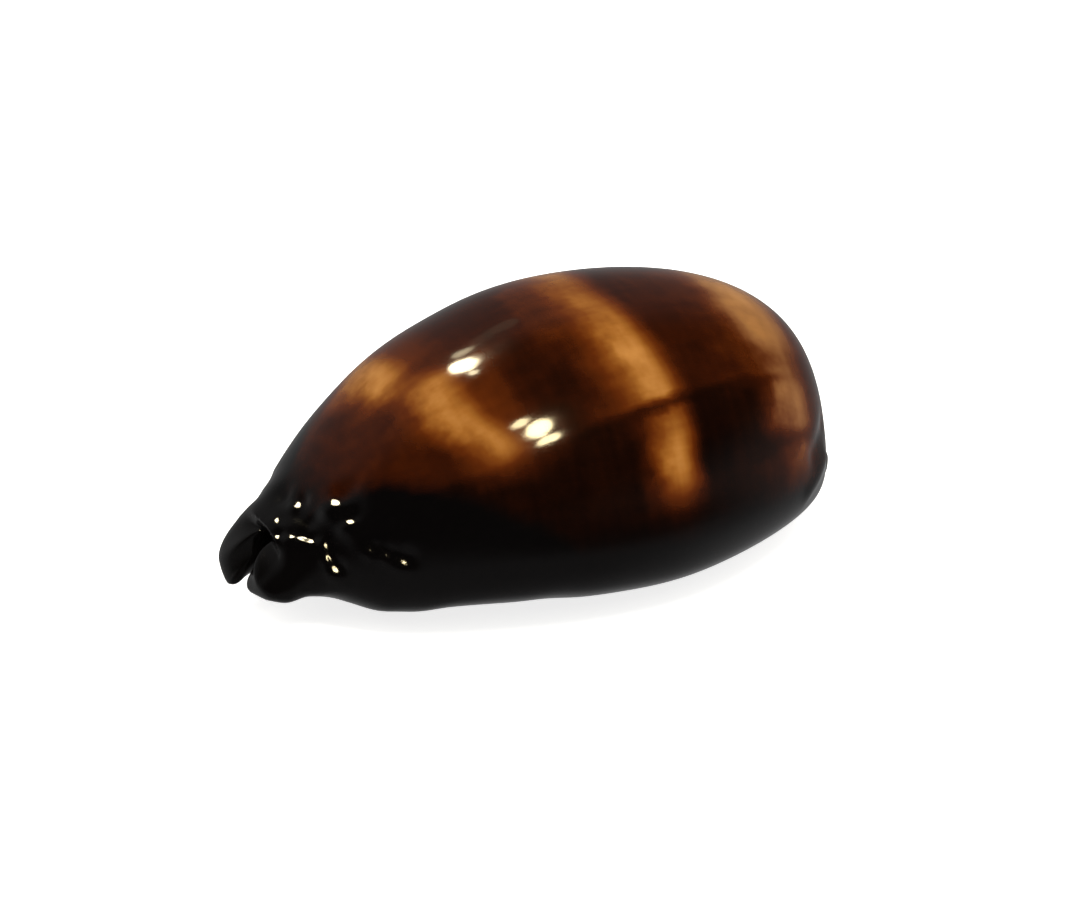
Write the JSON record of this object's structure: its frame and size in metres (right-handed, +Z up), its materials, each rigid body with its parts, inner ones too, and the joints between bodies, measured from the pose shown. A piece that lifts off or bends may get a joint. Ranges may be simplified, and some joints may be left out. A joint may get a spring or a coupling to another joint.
{
  "type": "cowrie shell",
  "caption": "Glossy domed sea shell with a narrow lipped front end, a blunt back end and a toothed slit along its flat base.",
  "frame": {"origin": "centre of the shell's extents in plan, at the level of the surface it rests on", "axes": "+X along the shell's length towards the blunt back end, +Y towards the outer-lip flank, +Z up"},
  "size_m": [0.07, 0.0456, 0.0306],
  "materials": {
    "shell": "natural high gloss, brown with three pale bands, black at both ends and along the margins"
  },
  "bodies": {
    "root": {"cowrie_shell": "shell"}
  },
  "joints": []
}
